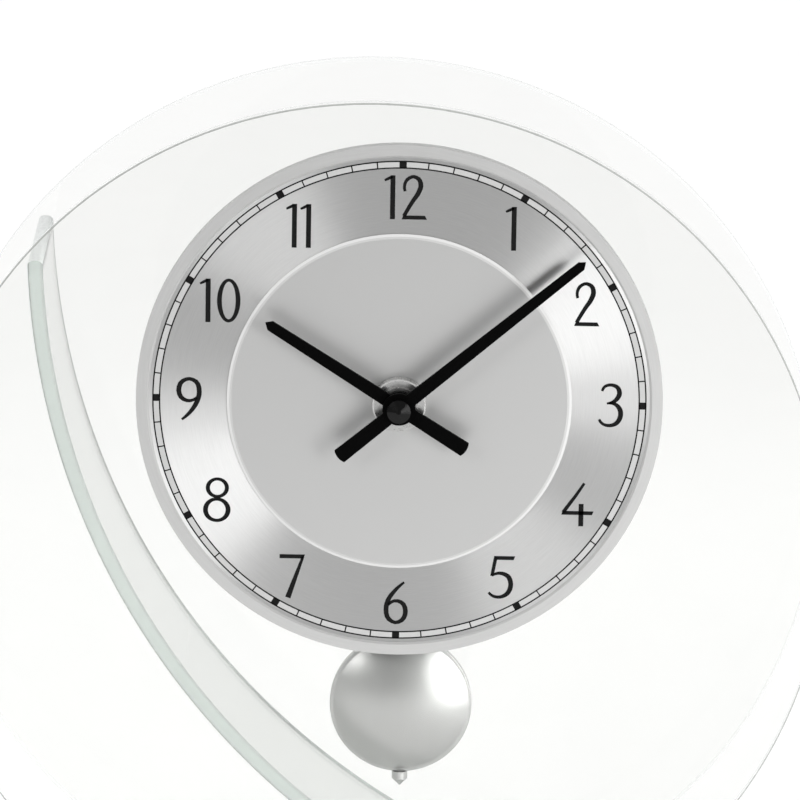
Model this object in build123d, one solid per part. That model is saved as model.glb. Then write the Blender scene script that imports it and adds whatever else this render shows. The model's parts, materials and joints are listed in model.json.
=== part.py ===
"""Desk pendulum clock: a round dial and a pendulum movement between two glass discs and a bent glass strip.

The clock is drawn as seen from the front, in a dial frame: x to the right, y up, h out towards the viewer,
with its origin on the hand axis at the front face of the front glass. place() then stands each piece up in
the part frame: X to the right, Y to the back, Z up, with the table at Z = 0. All sizes are millimetres.
"""
from build123d import *
from math import asin, cos, pi, radians, sin, sqrt
import os

# Glass stand
DISC_RADIUS = 120.0
GLASS_THICKNESS = 4.0
DISC_FLAT_LENGTH = 30.0
GLASS_ARRIS = 0.4
STRIP_WIDTH = 50.0
STRIP_THICKNESS = 4.0
STRIP_RADIUS = 202.0
STRIP_FOOT_REACH = 111.0
STRIP_END_INSET = 1.75
STRIP_END_ROUND = 1.5
GLASS_HOLE_CLEARANCE = 0.5

# Dial, set off the middle of the discs
DIAL_RIGHT = 7.0
DIAL_UP = 40.7
DIAL_THICKNESS = 2.6
INNER_DIAL_RADIUS = 45.2
INNER_DIAL_EDGE = 0.2
INNER_DIAL_BEVEL_RISE = 0.4
INNER_DIAL_BEVEL_WIDTH = 1.2
BEZEL_RADIUS = 69.0
BEZEL_WIDTH = 3.35
BEZEL_RIM_HEIGHT = 3.0
BEZEL_CREST_RISE = 0.2
BEZEL_LIP_WIDTH = 0.55
BEZEL_REBATE = 1.9

# Fits between pieces
SEAT_CLEARANCE = 0.02
RUNNING_CLEARANCE = 0.05
END_PLAY = 0.3

# Centre fixing
MINUTE_ARBOR_RADIUS = 1.5
HOUR_TUBE_WALL = 0.95
BUSH_WALL = 2.45
BUSH_FLANGE_RIM = 2.0
BUSH_FLANGE_THICKNESS = 1.0
BUSH_PROUD = 0.7
GASKET_RIM = 5.0
GASKET_THICKNESS = 1.0
WASHER_RIM = 1.8
WASHER_THICKNESS = 0.5
NUT_WALL = 2.0
NUT_THICKNESS = 3.0
NUT_BEVEL = 0.35

# Hands, as angles clockwise from twelve
HOUR_ANGLE = 302.4
MINUTE_ANGLE = 49.9
HAND_THICKNESS = 0.8
HAND_GAP = 1.0
HAND_HUB_RADIUS = 4.3
HAND_HUB_BOSS = 0.5
HAND_TAIL_WIDTH = 4.0
HAND_TAIL_BULGE = 0.5
HAND_POINT_LENGTH = 1.5
HOUR_HAND_LENGTH = 41.6
HOUR_HAND_TAIL = 21.0
HOUR_HAND_TIP_WIDTH = 2.7
MINUTE_HAND_LENGTH = 62.6
MINUTE_HAND_TAIL = 20.6
MINUTE_HAND_TIP_WIDTH = 2.4
CAP_RADIUS = 3.1
CAP_SIDE = 2.6
CAP_CONE = 1.0

# Movement case
CASE_WALL = 1.6
CASE_INNER_CORNER = 2.4
CASE_FOOT_CORNER = 12.0
RIB_THICKNESS = 1.0
PILLAR_RADIUS = 2.5
PILLAR_INSET = 3.0
SCREW_RADIUS = 0.8
SCREW_LENGTH = 5.0
SCREW_HEAD_RADIUS = 1.6
SCREW_HEAD_HEIGHT = 1.0
SCREW_SLOT_WIDTH = 0.5
SCREW_SLOT_DEPTH = 0.5

# Battery and its contacts
BATTERY_RADIUS = 7.25
BATTERY_LENGTH = 50.5
BATTERY_NUB_RADIUS = 2.7
BATTERY_NUB_LENGTH = 1.3
BATTERY_DROP = 36.5
CASE_CLEARANCE = 0.4
CONTACT_THICKNESS = 0.4
CONTACT_SPRING = 1.7
CONTACT_WIDTH = 10.0
CONTACT_BASE_RADIUS = 4.0
CONTACT_TIP_RADIUS = 2.2

# Wheels: teeth and module
PRESSURE_ANGLE = 25.0
ADDENDUM = 0.8
ROOT_CLEARANCE = 0.25
BACKLASH = 0.16
WHEEL_THICKNESS = 1.2
WHEEL_GAP = 0.8
PINION_OVERHANG = 0.2
WHEEL_POST_RADIUS = 0.75
WHEEL_BOSS_RADIUS = 2.2
CANNON_TEETH = 12
MINUTE_WHEEL_TEETH = 36
MINUTE_MODULE = 0.5
MINUTE_PINION_TEETH = 10
HOUR_WHEEL_TEETH = 40
CENTRE_WHEEL_TEETH = 60
THIRD_PINION_TEETH = 10
CENTRE_MODULE = 0.4
THIRD_WHEEL_TEETH = 60
THIRD_MODULE = 0.3
SETTING_PINION_TEETH = 12
MINUTE_WHEEL_BEARING = 150.0
THIRD_WHEEL_BEARING = 35.0
SETTING_BEARING = 165.0
ARBOR_PIVOT_RADIUS = 1.0
ARBOR_PIVOT_LENGTH = 2.8
SETTING_ARBOR_RADIUS = 1.5
KNOB_RADIUS = 5.0
KNOB_HEIGHT = 6.0
KNOB_GROOVES = 24
KNOB_GROOVE_RADIUS = 0.35

# Electronics and motor
BOARD_WIDTH = 44.0
BOARD_HEIGHT = 11.0
BOARD_THICKNESS = 1.0
STANDOFF = 1.2
STANDOFF_RADIUS = 1.6
CHIP_SIZE = 6.0
CHIP_THICKNESS = 1.2
CRYSTAL_RADIUS = 1.2
CRYSTAL_LENGTH = 7.0
STATOR_THICKNESS = 0.8
MOTOR_GAP = 0.5
MOTOR_WIDTH = 16.0
MOTOR_HEIGHT = 8.0
MOTOR_DEPTH = 6.5
MOTOR_COIL_RADIUS = 3.4
MOTOR_COIL_LENGTH = 13.0

# Pendulum and its drive
PENDULUM_RIGHT = 1.5
PIVOT_DROP = 8.0
PIVOT_PIN_RADIUS = 1.0
PIVOT_BOSS_RADIUS = 3.0
DRIVE_COIL_RADIUS = 8.0
DRIVE_COIL_CORE_RADIUS = 2.5
DRIVE_COIL_HEIGHT = 8.0
DRIVE_COIL_SPACE = 1.8
LEVER_GAP = 1.0
LEVER_WIDTH = 5.0
LEVER_HUB_RADIUS = 3.5
MAGNET_RADIUS = 4.0
MAGNET_THICKNESS = 1.6
MAGNET_FLOOR = 0.8
MAGNET_CUP_WALL = 1.5
LEVER_TAIL = 11.0
ROD_RADIUS = 0.8
ROD_SOCKET = 5.0
ROD_SOCKET_WALL = 0.38
ROD_SHOWN = 5.05
CLIP_RADIUS = 2.4
CLIP_THICKNESS = 0.6
BOB_RADIUS = 19.0
BOB_DOME = 4.4
BOB_RIM = 1.1
BOB_SHELL = 0.6
BOB_FLANGE = 0.7
RATING_NUT_RADIUS = 2.1
RATING_NUT_SIDE = 2.1
RATING_NUT_POINT = 2.1

# Radii about the hand axis, from the minute arbor outwards
hour_tube_radius = MINUTE_ARBOR_RADIUS + RUNNING_CLEARANCE + HOUR_TUBE_WALL
bush_bore = hour_tube_radius + RUNNING_CLEARANCE
bush_radius = bush_bore + BUSH_WALL
hole_radius = bush_radius + SEAT_CLEARANCE
nut_radius = bush_radius + NUT_WALL

# Stations along the hand axis, from the front of the hands back to the case
inner_dial_front = DIAL_THICKNESS + INNER_DIAL_EDGE + INNER_DIAL_BEVEL_RISE
washer_front = inner_dial_front + WASHER_THICKNESS
nut_front = washer_front + NUT_THICKNESS
bush_front = nut_front + BUSH_PROUD
hour_hand_back = bush_front + END_PLAY + HAND_HUB_BOSS
hour_hand_front = hour_hand_back + HAND_THICKNESS
minute_hand_back = hour_hand_front + HAND_GAP
minute_hand_front = minute_hand_back + HAND_THICKNESS
cap_front = minute_hand_front + CAP_SIDE + CAP_CONE
case_face = -GLASS_THICKNESS - GASKET_THICKNESS
case_floor = case_face - CASE_WALL

# Wheels, stacked backwards from the bush's flange, with the rear cover behind the arbor's pivot
hour_wheel_front = case_floor - BUSH_FLANGE_THICKNESS - END_PLAY
hour_wheel_back = hour_wheel_front - WHEEL_THICKNESS
minute_wheel_front = hour_wheel_back - WHEEL_GAP
minute_wheel_back = minute_wheel_front - WHEEL_THICKNESS
centre_wheel_front = minute_wheel_back - WHEEL_GAP
centre_wheel_back = centre_wheel_front - WHEEL_THICKNESS
third_wheel_front = centre_wheel_back - WHEEL_GAP
third_wheel_back = third_wheel_front - WHEEL_THICKNESS
pivot_back = third_wheel_back - WHEEL_GAP
arbor_back = pivot_back - ARBOR_PIVOT_LENGTH
cover_floor = arbor_back - END_PLAY
cover_face = cover_floor - CASE_WALL
motion_distance = MINUTE_MODULE * (CANNON_TEETH + MINUTE_WHEEL_TEETH) / 2
hour_module = 2 * motion_distance / (MINUTE_PINION_TEETH + HOUR_WHEEL_TEETH)
third_distance = CENTRE_MODULE * (CENTRE_WHEEL_TEETH + THIRD_PINION_TEETH) / 2
setting_distance = MINUTE_MODULE * (MINUTE_WHEEL_TEETH + SETTING_PINION_TEETH) / 2

# Battery, pendulum and rear glass, behind the movement
battery_axis = case_floor - CASE_CLEARANCE - BATTERY_RADIUS
lever_thickness = max(MAGNET_THICKNESS + MAGNET_FLOOR, 2 * (ROD_RADIUS + SEAT_CLEARANCE + ROD_SOCKET_WALL))
lever_front = min(cover_face, battery_axis - BATTERY_RADIUS) - LEVER_GAP
lever_back = lever_front - lever_thickness
pendulum_plane = (lever_front + lever_back) / 2
rear_glass_front = -GLASS_THICKNESS - STRIP_WIDTH
rear_glass_back = rear_glass_front - GLASS_THICKNESS

# Heights downwards from the hand axis
trough_half = BATTERY_RADIUS + CASE_CLEARANCE
coil_drop = BATTERY_DROP + trough_half + RIB_THICKNESS + DRIVE_COIL_SPACE + DRIVE_COIL_RADIUS
inner_bottom = -coil_drop - DRIVE_COIL_RADIUS - DRIVE_COIL_SPACE
lever_end = -coil_drop - LEVER_TAIL
bob_drop = -lever_end + ROD_SHOWN + BOB_RADIUS
board_bottom = -BATTERY_DROP + trough_half + RIB_THICKNESS + CASE_CLEARANCE
board_front = case_floor - STANDOFF
board_back = board_front - BOARD_THICKNESS
stator_back = board_front - STATOR_THICKNESS

# Where the dial frame stands in the part frame
disc_height = sqrt(DISC_RADIUS**2 - (DISC_FLAT_LENGTH / 2) ** 2)
depth_middle = (cap_front + rear_glass_back) / 2
table_level = -DIAL_UP - disc_height

UP_FROM = (Align.CENTER, Align.CENTER, Align.MIN)


def place(shape):
    """Stand a piece drawn in the dial frame up in the part frame."""
    return Pos(DIAL_RIGHT, depth_middle, disc_height + DIAL_UP) * Rot(90, 0, 0) * shape


def disc(radius, back, front, x=0.0, y=0.0):
    """Solid round piece between two stations."""
    return Pos(x, y, back) * Cylinder(radius, front - back, align=UP_FROM)


def ring(outer, inner, back, front, x=0.0, y=0.0):
    """Round piece with a bore right through it."""
    return disc(outer, back, front, x, y) - disc(inner, back, front, x, y)


def block(x_low, x_high, y_low, y_high, back, front):
    """Box between two corners."""
    middle = ((x_low + x_high) / 2, (y_low + y_high) / 2, (back + front) / 2)
    return Pos(*middle) * Box(x_high - x_low, y_high - y_low, front - back)


def turned(profile):
    """Solid of revolution about the hand axis, from (radius, h) points."""
    face = make_face(Plane.XZ * Polyline(*profile, close=True))
    return revolve(face, Axis.Z)


def polar(distance, bearing):
    """Point at a distance from the hand axis, bearing counted anticlockwise from the right."""
    return distance * cos(radians(bearing)), distance * sin(radians(bearing))


def involute_lag(radius, base):
    """Angle, in radians, by which an involute has unwound at a radius."""
    if radius <= base:
        return 0.0
    spread = sqrt((radius / base) ** 2 - 1)
    return spread - asin(spread / sqrt(1 + spread**2))


def gear_tip(teeth, module):
    """Radius over the teeth of a wheel."""
    return module * (teeth / 2 + ADDENDUM)


def gear(teeth, module, back, front, phase=0.0):
    """Spur wheel with involute flanks of two facets, a tooth centred on the phase bearing."""
    pitch = module * teeth / 2
    base = pitch * cos(radians(PRESSURE_ANGLE))
    tip = gear_tip(teeth, module)
    root = pitch - (ADDENDUM + ROOT_CLEARANCE) * module
    half_tooth = (pi * module - BACKLASH) / 4 / pitch + involute_lag(pitch, base)
    outline = []
    for tooth in range(teeth):
        middle = radians(phase) + 2 * pi * tooth / teeth
        flank = [(r, half_tooth - involute_lag(r, base)) for r in (root, pitch, tip)]
        rising = [(r, middle - half) for r, half in flank]
        falling = [(r, middle + half) for r, half in reversed(flank)]
        outline += [(r * cos(a), r * sin(a)) for r, a in rising + falling]
    face = make_face(Polyline(*outline, close=True))
    return extrude(Pos(0, 0, back) * face, front - back)


def meshing_phase(driver_phase, driver_teeth, teeth, bearing):
    """Phase at which a wheel on this bearing from its driver has a space where the driver has a tooth."""
    ahead = driver_phase - bearing
    return bearing + 180 + 180 / teeth - ahead * driver_teeth / teeth


def rounded_plate(half_width, low, high, corner, foot_corner, back, front):
    """Plate drawn between two heights, its lower corners rounded more than the upper ones."""
    outline = Rectangle(2 * half_width, high - low)
    outline = fillet(outline.vertices().sort_by(Axis.Y)[:2], foot_corner)
    outline = fillet(outline.vertices().sort_by(Axis.Y)[-2:], corner)
    return extrude(Pos(0, (low + high) / 2, back) * outline, front - back)


# Front and rear glass discs, each ground flat where it stands

def glass_disc(back):
    """Round pane with ground edges and a short flat at the bottom."""
    pane = disc(DISC_RADIUS, back, back + GLASS_THICKNESS, -DIAL_RIGHT, -DIAL_UP)
    pane = chamfer(pane.edges().filter_by(GeomType.CIRCLE), GLASS_ARRIS)
    front = back + GLASS_THICKNESS
    return pane - block(-DISC_RADIUS, DISC_RADIUS, table_level - DISC_RADIUS, table_level, back, front)


front_glass_disc = glass_disc(-GLASS_THICKNESS) - disc(
    bush_radius + GLASS_HOLE_CLEARANCE, -GLASS_THICKNESS, 0
)
rear_glass_disc = glass_disc(rear_glass_back)

# Bent glass strip: a quarter circle that meets the table below; above, it is cut level where its outer face
# comes near the discs' edge, which is where its circle crosses one a little smaller than the discs

strip_x = STRIP_FOOT_REACH - DIAL_RIGHT
strip_y = STRIP_RADIUS - DISC_RADIUS - DIAL_UP
strip_ring = ring(
    STRIP_RADIUS, STRIP_RADIUS - STRIP_THICKNESS, rear_glass_front, -GLASS_THICKNESS, strip_x, strip_y
)
centres_across = -DIAL_RIGHT - strip_x
centres_up = -DIAL_UP - strip_y
centres_apart = sqrt(centres_across**2 + centres_up**2)
crossing_along = (STRIP_RADIUS**2 - (DISC_RADIUS - STRIP_END_INSET) ** 2 + centres_apart**2) / (2 * centres_apart)
crossing_aside = sqrt(STRIP_RADIUS**2 - crossing_along**2)
strip_top = strip_y + (centres_up * crossing_along + abs(centres_across) * crossing_aside) / centres_apart
curved_glass_strip = strip_ring & block(
    strip_x - STRIP_RADIUS, strip_x, table_level, strip_top, rear_glass_front, -GLASS_THICKNESS
)
strip_end_corners = curved_glass_strip.edges().filter_by(Axis.Z).sort_by(Axis.Y)[-2:]
curved_glass_strip = fillet(strip_end_corners, STRIP_END_ROUND)

# Dial plate, inner dial and the bezel that holds the dial's edge in its rebate

bezel_bore = BEZEL_RADIUS - BEZEL_WIDTH
bezel_crest = BEZEL_RIM_HEIGHT + BEZEL_CREST_RISE
rebate_radius = bezel_bore + BEZEL_REBATE
dial_plate = ring(rebate_radius - SEAT_CLEARANCE, hole_radius, 0, DIAL_THICKNESS)
inner_dial = turned([
    (hole_radius, DIAL_THICKNESS),
    (INNER_DIAL_RADIUS, DIAL_THICKNESS),
    (INNER_DIAL_RADIUS, DIAL_THICKNESS + INNER_DIAL_EDGE),
    (INNER_DIAL_RADIUS - INNER_DIAL_BEVEL_WIDTH, inner_dial_front),
    (hole_radius, inner_dial_front),
])
dial_bezel = turned([
    (rebate_radius, 0),
    (BEZEL_RADIUS, 0),
    (BEZEL_RADIUS, BEZEL_RIM_HEIGHT),
    (bezel_bore + BEZEL_LIP_WIDTH, bezel_crest),
    (bezel_bore, bezel_crest - BEZEL_LIP_WIDTH),
    (bezel_bore, DIAL_THICKNESS),
    (rebate_radius, DIAL_THICKNESS),
])

# Centre fixing: flanged bush through case, gasket, glass and dial, drawn up by the nut on its washer

bush_flange_back = case_floor - BUSH_FLANGE_THICKNESS
threaded_bush = (
    disc(bush_radius, case_floor, bush_front)
    + disc(bush_radius + BUSH_FLANGE_RIM, bush_flange_back, case_floor)
    - disc(bush_bore, bush_flange_back, bush_front)
)
rubber_gasket = ring(bush_radius + GASKET_RIM, hole_radius, case_face, -GLASS_THICKNESS)
dial_washer = ring(bush_radius + WASHER_RIM, hole_radius, inner_dial_front, washer_front)
centre_nut = turned([
    (hole_radius, washer_front),
    (nut_radius, washer_front),
    (nut_radius, nut_front - NUT_BEVEL),
    (nut_radius - NUT_BEVEL, nut_front),
    (hole_radius, nut_front),
])

# Hands: tapered batons with a pointed tip, a rounded tail and a round hub


def hand(length, tail, tip_width, angle, bore, back, boss_back):
    """Hand on its hub, turned clockwise from twelve, with a collar behind it down to boss_back."""
    tip_half = tip_width / 2
    tail_half = HAND_TAIL_WIDTH / 2
    shoulder = length - HAND_POINT_LENGTH
    edge = Polyline(
        (-tail_half, -tail + HAND_TAIL_BULGE),
        (-tip_half, shoulder),
        (0, length),
        (tip_half, shoulder),
        (tail_half, -tail + HAND_TAIL_BULGE),
    )
    end = ThreePointArc(edge @ 1, (0, -tail), edge @ 0)
    blade = extrude(make_face([*edge.edges(), end]), HAND_THICKNESS)
    blade = Rot(0, 0, -angle) * Pos(0, 0, back) * blade
    hub = disc(HAND_HUB_RADIUS, boss_back, back + HAND_THICKNESS)
    return blade + hub - disc(bore, boss_back, back + HAND_THICKNESS)


hour_hand = hand(
    HOUR_HAND_LENGTH, HOUR_HAND_TAIL, HOUR_HAND_TIP_WIDTH, HOUR_ANGLE,
    hour_tube_radius + SEAT_CLEARANCE, hour_hand_back, hour_hand_back - HAND_HUB_BOSS,
)
minute_hand = hand(
    MINUTE_HAND_LENGTH, MINUTE_HAND_TAIL, MINUTE_HAND_TIP_WIDTH, MINUTE_ANGLE,
    MINUTE_ARBOR_RADIUS + SEAT_CLEARANCE, minute_hand_back, minute_hand_back,
)
arbor_front = minute_hand_front + CAP_SIDE / 2
hand_cap = turned([
    (0, arbor_front),
    (MINUTE_ARBOR_RADIUS + SEAT_CLEARANCE, arbor_front),
    (MINUTE_ARBOR_RADIUS + SEAT_CLEARANCE, minute_hand_front),
    (CAP_RADIUS, minute_hand_front),
    (CAP_RADIUS, minute_hand_front + CAP_SIDE),
    (0, cap_front),
])

# Motion work and going train; phases keep the wheels in mesh as drawn

minute_wheel_at = polar(motion_distance, MINUTE_WHEEL_BEARING)
third_wheel_at = polar(third_distance, THIRD_WHEEL_BEARING)
setting_step = polar(setting_distance, SETTING_BEARING)
setting_at = (minute_wheel_at[0] + setting_step[0], minute_wheel_at[1] + setting_step[1])
minute_wheel_phase = meshing_phase(0, CANNON_TEETH, MINUTE_WHEEL_TEETH, MINUTE_WHEEL_BEARING)
hour_wheel_phase = meshing_phase(0, MINUTE_PINION_TEETH, HOUR_WHEEL_TEETH, MINUTE_WHEEL_BEARING + 180)
third_pinion_phase = meshing_phase(0, CENTRE_WHEEL_TEETH, THIRD_PINION_TEETH, THIRD_WHEEL_BEARING)
setting_phase = meshing_phase(minute_wheel_phase, MINUTE_WHEEL_TEETH, SETTING_PINION_TEETH, SETTING_BEARING)
post_bore = WHEEL_POST_RADIUS + RUNNING_CLEARANCE
pivot_bore = ARBOR_PIVOT_RADIUS + RUNNING_CLEARANCE

hour_wheel = (
    gear(HOUR_WHEEL_TEETH, hour_module, hour_wheel_back, hour_wheel_front, hour_wheel_phase)
    + disc(hour_tube_radius, hour_wheel_back, hour_hand_front)
    - disc(MINUTE_ARBOR_RADIUS + RUNNING_CLEARANCE, hour_wheel_back, hour_hand_front)
)
wide_pinion_back = minute_wheel_back - PINION_OVERHANG
wide_pinion_front = minute_wheel_front + PINION_OVERHANG
minute_arbor = (
    disc(MINUTE_ARBOR_RADIUS, pivot_back, arbor_front)
    + disc(ARBOR_PIVOT_RADIUS, arbor_back, pivot_back)
    + gear(CANNON_TEETH, MINUTE_MODULE, wide_pinion_back, wide_pinion_front)
)
centre_wheel = gear(CENTRE_WHEEL_TEETH, CENTRE_MODULE, centre_wheel_back, centre_wheel_front) - disc(
    MINUTE_ARBOR_RADIUS + SEAT_CLEARANCE, centre_wheel_back, centre_wheel_front
)
minute_pinion_front = hour_wheel_front + PINION_OVERHANG
minute_wheel = (
    gear(MINUTE_WHEEL_TEETH, MINUTE_MODULE, minute_wheel_back, minute_wheel_front, minute_wheel_phase)
    + gear(MINUTE_PINION_TEETH, hour_module, minute_wheel_front, minute_pinion_front)
    - disc(post_bore, minute_wheel_back, minute_pinion_front)
)
minute_wheel = Pos(*minute_wheel_at, 0) * minute_wheel
third_pinion_front = centre_wheel_front + PINION_OVERHANG
third_wheel = (
    gear(THIRD_WHEEL_TEETH, THIRD_MODULE, third_wheel_back, third_wheel_front)
    + gear(THIRD_PINION_TEETH, CENTRE_MODULE, third_wheel_front, third_pinion_front, third_pinion_phase)
    - disc(post_bore, third_wheel_back, third_pinion_front)
)
third_wheel = Pos(*third_wheel_at, 0) * third_wheel

# Setting arbor through the rear cover, with its pinion in the minute wheel and a grooved knob behind

setting_pivot_front = case_floor - END_PLAY
knob_front = cover_face - END_PLAY
knob_back = knob_front - KNOB_HEIGHT
setting_arbor = Pos(*setting_at, 0) * (
    gear(SETTING_PINION_TEETH, MINUTE_MODULE, wide_pinion_back, wide_pinion_front, setting_phase)
    + disc(ARBOR_PIVOT_RADIUS, wide_pinion_front, setting_pivot_front)
    + disc(SETTING_ARBOR_RADIUS, knob_back, wide_pinion_back)
)
setting_knob = ring(KNOB_RADIUS, SETTING_ARBOR_RADIUS + SEAT_CLEARANCE, knob_back, knob_front)
for groove in range(KNOB_GROOVES):
    at = polar(KNOB_RADIUS, 360 * groove / KNOB_GROOVES)
    setting_knob -= disc(KNOB_GROOVE_RADIUS, knob_back, knob_front, *at)
setting_knob = Pos(*setting_at, 0) * setting_knob

# Electronics board, with the quartz crystal and the driver chip on its back

board_top = board_bottom + BOARD_HEIGHT
board_middle = (board_bottom + board_top) / 2
circuit_board = block(-BOARD_WIDTH / 2, BOARD_WIDTH / 2, board_bottom, board_top, board_back, board_front)
chip_x = BOARD_WIDTH / 4
chip_at = Pos(chip_x, board_middle, board_back - CHIP_THICKNESS / 2)
driver_chip = chip_at * Box(CHIP_SIZE, CHIP_SIZE, CHIP_THICKNESS)
quartz_crystal = Pos(-chip_x, board_middle, board_back - CRYSTAL_RADIUS) * Rot(0, 90, 0) * Cylinder(
    CRYSTAL_RADIUS, CRYSTAL_LENGTH
)
standoffs = [(-BOARD_WIDTH / 3, board_middle), (BOARD_WIDTH / 3, board_middle)]

# Step motor: stator plate, coil lying on it, and the sealed block whose pinion drives the third wheel

wheel_tops = (
    third_wheel_at[1] + gear_tip(THIRD_WHEEL_TEETH, THIRD_MODULE),
    minute_wheel_at[1] + gear_tip(MINUTE_WHEEL_TEETH, MINUTE_MODULE),
    gear_tip(CENTRE_WHEEL_TEETH, CENTRE_MODULE),
)
motor_low = max(wheel_tops) + MOTOR_GAP
motor_high = motor_low + max(MOTOR_HEIGHT, 2 * MOTOR_COIL_RADIUS)
motor_middle = (motor_low + motor_high) / 2
motor_left = third_wheel_at[0] - MOTOR_WIDTH / 2
motor_right = motor_left + MOTOR_WIDTH
coil_left = motor_left - MOTOR_GAP - MOTOR_COIL_LENGTH
motor_back = stator_back - MOTOR_DEPTH
motor_stator = block(coil_left, motor_right, motor_low, motor_high, stator_back, board_front)
motor_block = block(motor_left, motor_right, motor_low, motor_high, motor_back, stator_back)
motor_coil = Pos(coil_left + MOTOR_COIL_LENGTH / 2, motor_middle, stator_back - MOTOR_COIL_RADIUS) * Rot(
    0, 90, 0
) * Cylinder(MOTOR_COIL_RADIUS, MOTOR_COIL_LENGTH)
standoffs += [(coil_left + MOTOR_GAP + STANDOFF_RADIUS, motor_middle), (third_wheel_at[0], motor_middle)]

# Inside of the case: as wide and as high as what it holds

contact_x = BATTERY_LENGTH / 2
setting_tip = gear_tip(SETTING_PINION_TEETH, MINUTE_MODULE)
inner_half = max(
    contact_x + CONTACT_SPRING + CONTACT_THICKNESS,
    BOARD_WIDTH / 2 + CASE_CLEARANCE,
    abs(setting_at[0]) + setting_tip + WHEEL_GAP,
    motor_right + MOTOR_GAP + PILLAR_RADIUS + PILLAR_INSET,
)
inner_top = motor_high + MOTOR_GAP

# Battery lying across the case between its two sprung contacts

barrel_length = BATTERY_LENGTH - BATTERY_NUB_LENGTH
lying = Pos(-contact_x, -BATTERY_DROP, battery_axis) * Rot(0, 90, 0)
battery_cell = lying * (
    Cylinder(BATTERY_RADIUS, barrel_length, align=UP_FROM)
    + Pos(0, 0, barrel_length) * Cylinder(BATTERY_NUB_RADIUS, BATTERY_NUB_LENGTH, align=UP_FROM)
)


def contact(side):
    """Sheet contact against the end wall, with a raised cone that presses on the cell."""
    sheet = Pos(inner_half - CONTACT_THICKNESS / 2, 0, 0) * Box(
        CONTACT_THICKNESS, CONTACT_WIDTH, CONTACT_WIDTH
    )
    cone_length = inner_half - CONTACT_THICKNESS - contact_x
    cone = Pos(contact_x, 0, 0) * Rot(0, 90, 0) * Cone(
        CONTACT_TIP_RADIUS, CONTACT_BASE_RADIUS, cone_length, align=UP_FROM
    )
    whole = sheet + cone
    if side < 0:
        whole = mirror(whole, Plane.YZ)
    return Pos(0, -BATTERY_DROP, battery_axis) * whole


contact_plus = contact(1)
contact_minus = contact(-1)

# Pendulum drive coil with its core, standing on a boss of the case

coil_front = cover_floor + END_PLAY + DRIVE_COIL_HEIGHT
drive_coil = ring(
    DRIVE_COIL_RADIUS, DRIVE_COIL_CORE_RADIUS + SEAT_CLEARANCE, cover_floor + END_PLAY, coil_front,
    PENDULUM_RIGHT, -coil_drop,
)
coil_core = disc(DRIVE_COIL_CORE_RADIUS, cover_floor + END_PLAY, coil_front, PENDULUM_RIGHT, -coil_drop)

# Front case: tray with bosses, posts, battery ribs and screw pillars

pillars = [
    (side * (inner_half - PILLAR_INSET), level)
    for side in (-1, 1)
    for level in (inner_top - PILLAR_INSET, inner_bottom + CASE_FOOT_CORNER)
]
case_outline = (
    inner_half + CASE_WALL, inner_bottom - CASE_WALL, inner_top + CASE_WALL, CASE_INNER_CORNER + CASE_WALL,
    CASE_FOOT_CORNER + CASE_WALL,
)
movement_front_case = rounded_plate(*case_outline, cover_floor, case_face)
movement_front_case -= rounded_plate(
    inner_half, inner_bottom, inner_top, CASE_INNER_CORNER, CASE_FOOT_CORNER, cover_floor, case_floor
)
for low in (-BATTERY_DROP - trough_half - RIB_THICKNESS, -BATTERY_DROP + trough_half):
    movement_front_case += block(-inner_half, inner_half, low, low + RIB_THICKNESS, battery_axis, case_floor)
for x, y in pillars:
    movement_front_case += disc(PILLAR_RADIUS, cover_floor, case_floor, x, y)
    movement_front_case -= disc(SCREW_RADIUS + SEAT_CLEARANCE, cover_floor, cover_floor + SCREW_LENGTH, x, y)
for x, y in standoffs:
    movement_front_case += disc(STANDOFF_RADIUS, board_front, case_floor, x, y)
coil_boss_radius = DRIVE_COIL_RADIUS - RIB_THICKNESS
movement_front_case += disc(coil_boss_radius, coil_front, case_floor, PENDULUM_RIGHT, -coil_drop)
movement_front_case += disc(
    WHEEL_BOSS_RADIUS, minute_pinion_front + END_PLAY, case_floor, *minute_wheel_at
) + disc(WHEEL_POST_RADIUS, minute_wheel_back, case_floor, *minute_wheel_at)
setting_boss_back = wide_pinion_front + END_PLAY
movement_front_case += disc(WHEEL_BOSS_RADIUS, setting_boss_back, case_floor, *setting_at)
movement_front_case -= disc(pivot_bore, setting_boss_back, case_floor, *setting_at)
movement_front_case -= disc(hole_radius, case_floor, case_face)

# Rear cover: plate with the battery window, the setting hole, arbor bosses and the pendulum's pivot boss

third_boss_front = third_wheel_back - END_PLAY
movement_rear_cover = rounded_plate(*case_outline, cover_face, cover_floor)
movement_rear_cover += disc(WHEEL_BOSS_RADIUS, cover_floor, pivot_back - END_PLAY)
movement_rear_cover -= disc(pivot_bore, cover_floor, pivot_back - END_PLAY)
movement_rear_cover += disc(WHEEL_BOSS_RADIUS, cover_floor, third_boss_front, *third_wheel_at)
movement_rear_cover += disc(WHEEL_POST_RADIUS, third_boss_front, third_pinion_front, *third_wheel_at)
movement_rear_cover -= disc(SETTING_ARBOR_RADIUS + RUNNING_CLEARANCE, cover_face, cover_floor, *setting_at)
movement_rear_cover -= block(
    -inner_half, inner_half, -BATTERY_DROP - trough_half, -BATTERY_DROP + trough_half, cover_face, cover_floor
)
pivot_boss_back = lever_front + END_PLAY
movement_rear_cover += disc(PIVOT_BOSS_RADIUS, pivot_boss_back, cover_face, PENDULUM_RIGHT, -PIVOT_DROP)
movement_rear_cover -= disc(
    PIVOT_PIN_RADIUS + SEAT_CLEARANCE, pivot_boss_back, cover_floor, PENDULUM_RIGHT, -PIVOT_DROP
)
for x, y in pillars:
    movement_rear_cover -= disc(SCREW_RADIUS + SEAT_CLEARANCE, cover_face, cover_floor, x, y)


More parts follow.
